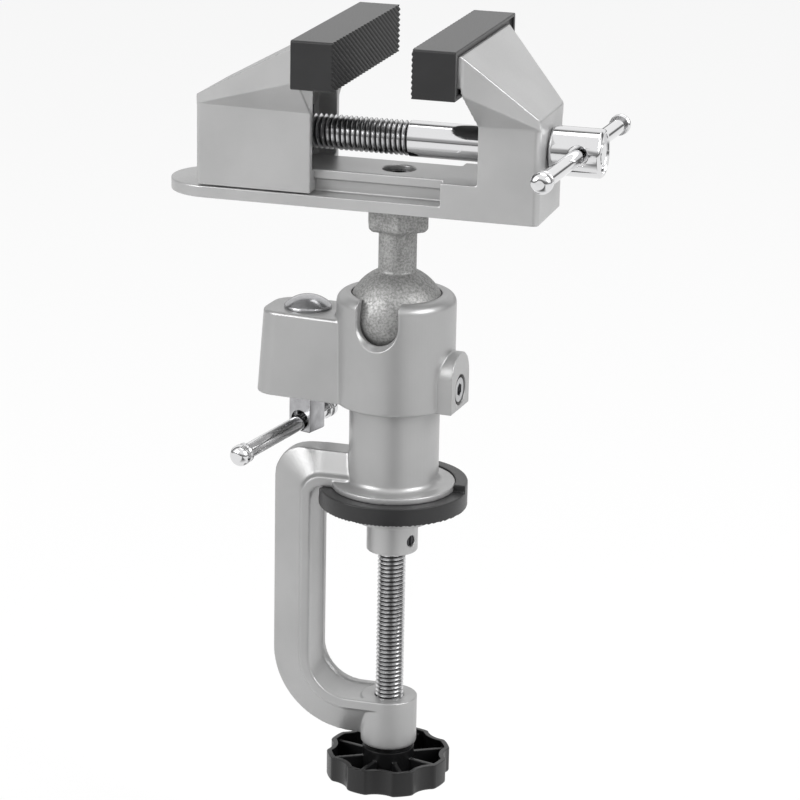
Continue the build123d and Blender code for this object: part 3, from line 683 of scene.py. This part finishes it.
def rib_cutter(length, pitch, depth):
    """A block over a corrugated underside, its V-ribs along Y, that cuts ribs below z = 0."""
    count = math.ceil(length / pitch) + 2
    only()
    bpy.ops.mesh.primitive_grid_add(x_subdivisions=2 * count, y_subdivisions=1, size=1)
    piece = bpy.context.object
    piece.scale = (count * pitch, count * pitch, 1)
    settle(piece)
    bpy.ops.object.mode_set(mode="EDIT")
    half = pitch / 2
    choose_vertices(lambda v: round(v.co.x / half + count) % 2 == 1)
    bpy.ops.transform.translate(value=(0, 0, -depth))
    close_block(4 * depth, 4 * depth)
    clean_up(piece)
    return piece


def jaw_cap(name, node, outward):
    """A moulded cap: the node's walls and hollow, with slanting ribs cut into its front."""
    low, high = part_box(node)
    piece = copy_node(node, name)
    round_edges(piece, sizes().fine_edge, SHARP_CORNER)
    cutter = rib_cutter(high.y - low.y, sizes().rib_pitch, sizes().rib_depth)
    cutter.rotation_euler.z = -math.radians(RIB_SLOPE)
    settle(cutter)
    middle = (low + high) / 2
    face = Vector((high.x if outward > 0 else low.x, middle.y, middle.z))
    settle(cutter, along(face, (outward, 0, 0), (0, outward, 0)))
    carve(piece, cutter)
    smooth(piece, degrees=20)
    # the depth of each rib flank, which the rubber finish turns darker as painted shade
    groove = piece.data.attributes.new(GROOVE, "FLOAT", "CORNER")
    for side in piece.data.polygons:
        if side.normal.x * outward > 0.3:  # the ribs' flanks, which face the other jaw
            for corner in side.loop_indices:
                vertex = piece.data.vertices[piece.data.loops[corner].vertex_index]
                depth = abs(vertex.co.x - face.x)
                groove.data[corner].value = min(1.0, depth / sizes().rib_depth)
    deliver(piece, node, "black_rubber")


class MakeJawCaps(bpy.types.Operator):
    """Moulds the two ribbed rubber caps that slip over the jaws' noses"""

    bl_idname = "ball_vise.jaw_caps"
    bl_label = "Jaw caps"

    def execute(self, context):
        jaw_cap("moving_cap_moulded", "moving_jaw_cap", 1)
        jaw_cap("fixed_cap_moulded", "fixed_jaw_cap", -1)
        return {"FINISHED"}


def tooth_cutter(radius, pitch, depth):
    """A block under a pitted sheet, whose pits leave teeth on an underside at z = 0."""
    count = math.ceil(radius / pitch) + 1
    only()
    bpy.ops.mesh.primitive_grid_add(
        x_subdivisions=4 * count, y_subdivisions=4 * count, size=2 * count * pitch
    )
    piece = bpy.context.object
    settle(piece)
    bpy.ops.object.mode_set(mode="EDIT")
    half = pitch / 2
    choose_vertices(lambda v: round(v.co.x / half) % 2 != 0 or round(v.co.y / half) % 2 != 0)
    bpy.ops.transform.translate(value=(0, 0, depth))
    close_block(-4 * depth, -3 * depth)
    clean_up(piece)
    return piece


class MakeTablePad(bpy.types.Operator):
    """Cuts the toothed underside into the rubber table pad and softens its rim"""

    bl_idname = "ball_vise.table_pad"
    bl_label = "Table pad"

    def execute(self, context):
        piece = copy_node("table_pad", "table_pad_moulded")
        round_edges(piece, 2 * sizes().fine_edge, SHARP_CORNER)
        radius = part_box("table_pad")[1].x
        carve(piece, tooth_cutter(radius, sizes().grip_pitch, sizes().grip_depth))
        smooth(piece, degrees=25)
        deliver(piece, "table_pad", "black_rubber")
        return {"FINISHED"}


# ---------------------------------------------------------------- the screws
THREAD_DEPTH = 0.6134  # of the pitch, on a standard metric screw
CREST_HALF = 1 / 16  # half the flat on the crest, as a share of the pitch
THREAD_STEPS = 36  # facets in a turn
TIP_START = 3.0 * MM  # the clamp screw's plain tip starts here, above the foot's underside
TIP_COVERED = 4.0 * MM  # and its thread runs up round the tip to here
JAW_CREST = 5.9 * MM  # radius of the jaw screw over its thread
JAW_THREAD_END = 4.2 * MM  # X where the jaw screw's thread meets its shank


def thread(name, crest, pitch, start, end):
    """A right-handed thread along Z: four points of its profile, screwed up and cut to length."""
    root = crest - THREAD_DEPTH * pitch
    flat = CREST_HALF * pitch
    profile = [(root, 0.0), (crest, pitch / 2 - flat), (crest, pitch / 2 + flat), (root, pitch)]
    only()
    bpy.ops.mesh.primitive_plane_add(size=1)
    piece = bpy.context.object
    piece.name = name
    bpy.ops.object.mode_set(mode="EDIT")
    bpy.ops.mesh.delete(type="ONLY_FACE")
    mesh = bmesh.from_edit_mesh(piece.data)
    ring = sorted(mesh.verts, key=lambda v: math.atan2(v.co.y, v.co.x))
    for vertex, (radius, height) in zip(ring, profile):
        vertex.co = (radius, 0, start - pitch + height)
    spare = [edge for edge in mesh.edges if ring[0] in edge.verts and ring[3] in edge.verts]
    bmesh.ops.delete(mesh, geom=spare, context="EDGES")
    bmesh.update_edit_mesh(piece.data)
    bpy.ops.object.mode_set(mode="OBJECT")
    apply_modifier(
        piece,
        "SCREW",
        axis="Z",
        angle=2 * math.pi,
        screw_offset=pitch,
        steps=THREAD_STEPS,
        render_steps=THREAD_STEPS,
        iterations=math.ceil((end - start) / pitch) + 2,
        use_merge_vertices=False,
    )
    edit_all(piece)
    bpy.ops.mesh.remove_doubles(threshold=MERGE)
    cut((0, 0, start), (0, 0, -1))
    cut((0, 0, end), (0, 0, 1))
    clean_up(piece)
    # the depth below the crest, which the thread finish turns darker as painted shade towards the
    # roots
    groove = piece.data.attributes.new(GROOVE, "FLOAT", "POINT")
    for vertex, value in zip(piece.data.vertices, groove.data):
        value.value = (crest - vertex.co.xy.length) / (crest - root)
    return piece


class MakeClampScrew(bpy.types.Operator):
    """Rolls the clamp screw's thread and keeps its plain grooved tip"""

    bl_idname = "ball_vise.clamp_screw"
    bl_label = "Clamp screw"

    def execute(self, context):
        low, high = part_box("clamp_screw")
        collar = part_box("foot")[0].z
        tip = copy_node("clamp_screw", "clamp_screw_tip")
        shorten(tip, (0, 0, collar + TIP_START), (0, 0, -1))
        smooth(tip, degrees=30)
        pitch = sizes().clamp_pitch
        rod = thread("clamp_screw_thread", high.x, pitch, low.z, collar + TIP_COVERED)
        smooth(rod, degrees=30)
        deliver(rod, "clamp_screw", "thread")
        deliver(tip, "clamp_screw", "chromed_steel")
        return {"FINISHED"}


class MakeJawScrew(bpy.types.Operator):
    """Rolls the jaw screw's thread and rounds its shank and drilled head"""

    bl_idname = "ball_vise.jaw_screw"
    bl_label = "Jaw screw"

    def execute(self, context):
        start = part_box("jaw_screw")[0].x
        height = JOINTS["jaw_screw_turn"]["pos_m"][2]
        shank = copy_node("jaw_screw", "jaw_screw_shank")
        shorten(shank, (JAW_THREAD_END, 0, height), (-1, 0, 0))
        round_edges(shank, sizes().fine_edge, degrees=30)
        smooth(shank, degrees=30)
        pitch = sizes().jaw_pitch
        rod = thread("jaw_screw_thread", JAW_CREST, pitch, 0.0, JAW_THREAD_END - start)
        settle(rod, along((start, 0, height), (1, 0, 0), (0, 0, 1)))
        smooth(rod, degrees=30)
        deliver(rod, "jaw_screw", "thread")
        deliver(shank, "jaw_screw", "chromed_steel")
        return {"FINISHED"}


# ---------------------------------------------------------------- the other nodes
ROUNDED = {  # width of the rounded edges, in millimetres
    "knob": 0.35,
    "lock_bolt": 0.25,
    "lock_nut": 0.25,
    "foot_face": 0.25,
    "lock_bar_caps": 0.12,
    "tommy_caps": 0.12,
}


class FinishRest(bpy.types.Operator):
    """Finishes the remaining nodes: bars, bolts, nuts, clip, knob and foot face"""

    bl_idname = "ball_vise.rest"
    bl_label = "Bars, bolts and knob"

    def execute(self, context):
        for node, width in ROUNDED.items():
            piece = copy_node(node, node + "_finished")
            round_edges(piece, width * MM, degrees=30)
            smooth(piece, degrees=32)
            deliver(piece, node, SLOT_OF[node])
        for node, thing in frame["nodes"].items():
            paint(thing, finish(SLOT_OF[node]))
        # the record calls it dark steel, but the photographed one is bright
        paint(frame["nodes"]["swivel_screw"], finish("plated_steel"))
        return {"FINISHED"}


# ---------------------------------------------------------------- the stage
CAMERA_AZIMUTH = 16.097  # degrees
CAMERA_ELEVATION = 17.391
CAMERA_ROLL = 1.119
CAMERA_PLACE = (281.7 * MM, -969.8 * MM, 353.5 * MM)
CAMERA_LENS = 139.3  # millimetres, on a sensor 36 mm wide
FRONT = Vector(CAMERA_PLACE[:2]).normalized()  # the studio's front, level, from the object
FLOOR_SIZE = 6.0  # metres
# each softbox: place in metres, side in metres and watts, aimed at the object's middle
SOFTBOXES = {
    "key_softbox": ((-0.95, -0.95, 0.72), 0.8, 13),
    "right_softbox": ((1.2, -0.35, 0.85), 0.8, 14.5),
    "top_softbox": ((0.2, 0.3, 1.5), 1.0, 8),
}


def set_camera(scene):
    bpy.ops.object.camera_add(location=CAMERA_PLACE)
    camera = bpy.context.object
    turn = (
        Matrix.Rotation(math.radians(CAMERA_AZIMUTH), 4, "Z")
        @ Matrix.Rotation(math.radians(90 - CAMERA_ELEVATION), 4, "X")
        @ Matrix.Rotation(math.radians(CAMERA_ROLL), 4, "Z")
    )
    camera.rotation_euler = turn.to_euler()
    camera.data.lens = CAMERA_LENS
    camera.data.sensor_width = 36.0
    camera.data.clip_start = 0.01
    camera.data.clip_end = 20.0
    scene.camera = camera


def studio_paper():
    """Matt white paper, which the camera sees as nearly white. A polished piece mirrors it with a
    dark strip that runs forward on it from in front of the object."""
    material, tree, place, shader = start_material("floor_paper")
    fibre = add(tree, NOISE, {"Vector": place, "Scale": features(2), "Detail": 3.0})
    nap = {"From Min": 0.3, "From Max": 0.7, "To Min": 0.8, "To Max": 0.95}
    rough = add(tree, RANGE, {"Value": fibre.outputs["Fac"], **nap})
    feed(
        tree,
        shader,
        {"Base Color": linear(colours().floor), "Roughness": rough.outputs["Result"]},
    )

    across, ahead = (
        add(
            tree,
            "ShaderNodeVectorMath",
            {0: place, 1: (line.x, line.y, 0.0)},
            operation="DOT_PRODUCT",
        ).outputs["Value"]
        for line in (Vector((-FRONT.y, FRONT.x)), FRONT)
    )
    aside = add(tree, MATHS, {0: across}, operation="ABSOLUTE")
    # the strip fades out over these metres from its middle line, and starts over these metres
    # in front of the object
    sides = {"From Min": 0.07, "From Max": 0.2, "To Min": 0.06, "To Max": 0.95}
    start = {"From Min": 0.1, "From Max": 0.3, "To Min": 0.95, "To Max": 0.0}
    beside = add(tree, RANGE, {"Value": aside.outputs[0], **sides})
    before = add(tree, RANGE, {"Value": ahead, **start})
    strip = add(
        tree,
        MATHS,
        {0: beside.outputs["Result"], 1: before.outputs["Result"]},
        operation="MAXIMUM",
    )

    path = add(tree, "ShaderNodeLightPath")
    glow = add(
        tree,
        MATHS,
        {0: path.outputs["Is Camera Ray"], 1: strip.outputs[0]},
        operation="MAXIMUM",
    )
    white = add(tree, "ShaderNodeEmission", {"Strength": glow.outputs[0]})
    # how much of the paper's look is its own white, to the camera and in a mirror
    seen, mirrored = (
        add(tree, MATHS, {0: path.outputs[ray], 1: amount}, operation="MULTIPLY")
        for ray, amount in (("Is Camera Ray", 0.84), ("Is Glossy Ray", 0.92))
    )
    share = add(tree, MATHS, {0: seen.outputs[0], 1: mirrored.outputs[0]}, operation="MAXIMUM")
    mix = add(
        tree,
        "ShaderNodeMixShader",
        {0: share.outputs[0], 1: shader.outputs["BSDF"], 2: white.outputs[0]},
    )
    output = next(node for node in tree.nodes if node.type == "OUTPUT_MATERIAL")
    feed(tree, output, {"Surface": mix.outputs[0]})
    return material


def lay_floor():
    """The floor lies just under the knob's lowest place, so that it clears the whole travel."""
    lowest = cad_low.z + JOINTS["foot_travel"]["range_m"][0]
    bpy.ops.mesh.primitive_plane_add(size=FLOOR_SIZE, location=(0, 0, lowest - 0.5 * MM))
    floor = bpy.context.object
    floor.name = "studio_floor"
    settle(floor)
    paint(floor, studio_paper())


def surround(scene):
    """A white room: plain white to the camera, a soft light on the object, and in mirrors white
    with the dark cards that give chrome its lines."""
    world = bpy.data.worlds.new("studio_white")
    scene.world = world
    world.use_nodes = True
    tree = world.node_tree
    tree.nodes.clear()
    direction = add(tree, "ShaderNodeTexCoord").outputs["Generated"]
    facing = add(
        tree,
        "ShaderNodeVectorMath",
        {0: direction, 1: (FRONT.x, FRONT.y, 0.0)},
        operation="DOT_PRODUCT",
    ).outputs["Value"]
    height = add(tree, "ShaderNodeSeparateXYZ", {"Vector": direction}).outputs["Z"]

    # a card at the front that ends above, a ring a little behind the sides, and a band all round
    # at the horizon
    front = {"From Min": 0.55, "From Max": 0.93, "To Min": 1.0, "To Max": 0.2}
    above = {"From Min": 0.12, "From Max": 0.4}
    aside = {"From Min": 0.11, "From Max": 0.26, "To Min": 0.15}
    horizon = {"From Min": 0.04, "From Max": 0.11, "To Min": 0.15}
    cards = add(
        tree,
        MATHS,
        {
            0: add(tree, RANGE, {"Value": facing, **front}).outputs["Result"],
            1: add(tree, RANGE, {"Value": height, **above}).outputs["Result"],
        },
        operation="MAXIMUM",
    ).outputs[0]
    beside = add(tree, MATHS, {0: facing, 1: 0.4}, operation="ADD").outputs[0]
    for line, card in ((beside, aside), (height, horizon)):
        away = add(tree, MATHS, {0: line}, operation="ABSOLUTE").outputs[0]
        dark = add(tree, RANGE, {"Value": away, **card}).outputs["Result"]
        cards = add(tree, MATHS, {0: cards, 1: dark}, operation="MINIMUM").outputs[0]

    white = (1, 1, 1, 1)
    lit = add(tree, "ShaderNodeBackground", {"Color": white, "Strength": 0.45})
    shown = add(tree, "ShaderNodeBackground", {"Color": white, "Strength": 1.0})
    mirrored = add(tree, "ShaderNodeBackground", {"Color": white, "Strength": cards})
    path = add(tree, "ShaderNodeLightPath")
    seen = add(
        tree,
        MATHS,
        {0: path.outputs["Is Camera Ray"], 1: path.outputs["Is Transmission Ray"]},
        operation="MAXIMUM",
    )
    indirect = add(
        tree,
        "ShaderNodeMixShader",
        {0: path.outputs["Is Glossy Ray"], 1: lit.outputs[0], 2: mirrored.outputs[0]},
    )
    mix = add(
        tree,
        "ShaderNodeMixShader",
        {0: seen.outputs[0], 1: indirect.outputs[0], 2: shown.outputs[0]},
    )
    add(tree, "ShaderNodeOutputWorld", {"Surface": mix.outputs[0]})


def hang_softbox(name, place, size, power):
    bpy.ops.object.light_add(type="AREA", location=place)
    lamp = bpy.context.object
    lamp.name = name
    lamp.data.shape = "SQUARE"
    lamp.data.size = size
    lamp.data.energy = power
    direction = (cad_low + cad_high) / 2 - Vector(place)
    lamp.rotation_euler = direction.to_track_quat("-Z", "Y").to_euler()


class MakeStage(bpy.types.Operator):
    """Sets the pale floor, the soft studio light, the white surroundings and the camera"""

    bl_idname = "ball_vise.stage"
    bl_label = "Stage"

    def execute(self, context):
        only()
        context.scene.view_settings.view_transform = "Standard"
        set_camera(context.scene)
        lay_floor()
        surround(context.scene)
        for name, (place, size, power) in SOFTBOXES.items():
            hang_softbox(name, place, size, power)
        return {"FINISHED"}


# ---------------------------------------------------------------- the add-on
OPERATORS = (
    MakeStage,
    DressCastings,
    DressBall,
    MakeJawCaps,
    MakeTablePad,
    MakeClampScrew,
    MakeJawScrew,
    FinishRest,
)


class BallVisePanel(bpy.types.Panel):
    """Lists the ball vise's sizes, colours and making steps"""

    bl_idname = "VIEW3D_PT_ball_vise"
    bl_label = "Ball Vise"
    bl_space_type = "VIEW_3D"
    bl_region_type = "UI"
    bl_category = "Ball Vise"

    def draw(self, context):
        for group in (context.scene.ball_vise_sizes, context.scene.ball_vise_colours):
            box = self.layout.box()
            for name in group.__annotations__:
                box.prop(group, name)
        for operator in OPERATORS:
            self.layout.operator(operator.bl_idname)


CLASSES = (BallViseSizes, BallViseColours, *OPERATORS, BallVisePanel)


def register():
    for made in CLASSES:
        bpy.utils.register_class(made)
    bpy.types.Scene.ball_vise_sizes = bpy.props.PointerProperty(type=BallViseSizes)
    bpy.types.Scene.ball_vise_colours = bpy.props.PointerProperty(type=BallViseColours)


def unregister():
    del bpy.types.Scene.ball_vise_colours
    del bpy.types.Scene.ball_vise_sizes
    for made in reversed(CLASSES):
        bpy.utils.unregister_class(made)


def main():
    register()
    for operator in OPERATORS:
        group, name = operator.bl_idname.split(".")
        getattr(getattr(bpy.ops, group), name)()
    only()


if __name__ == "__main__":
    main()
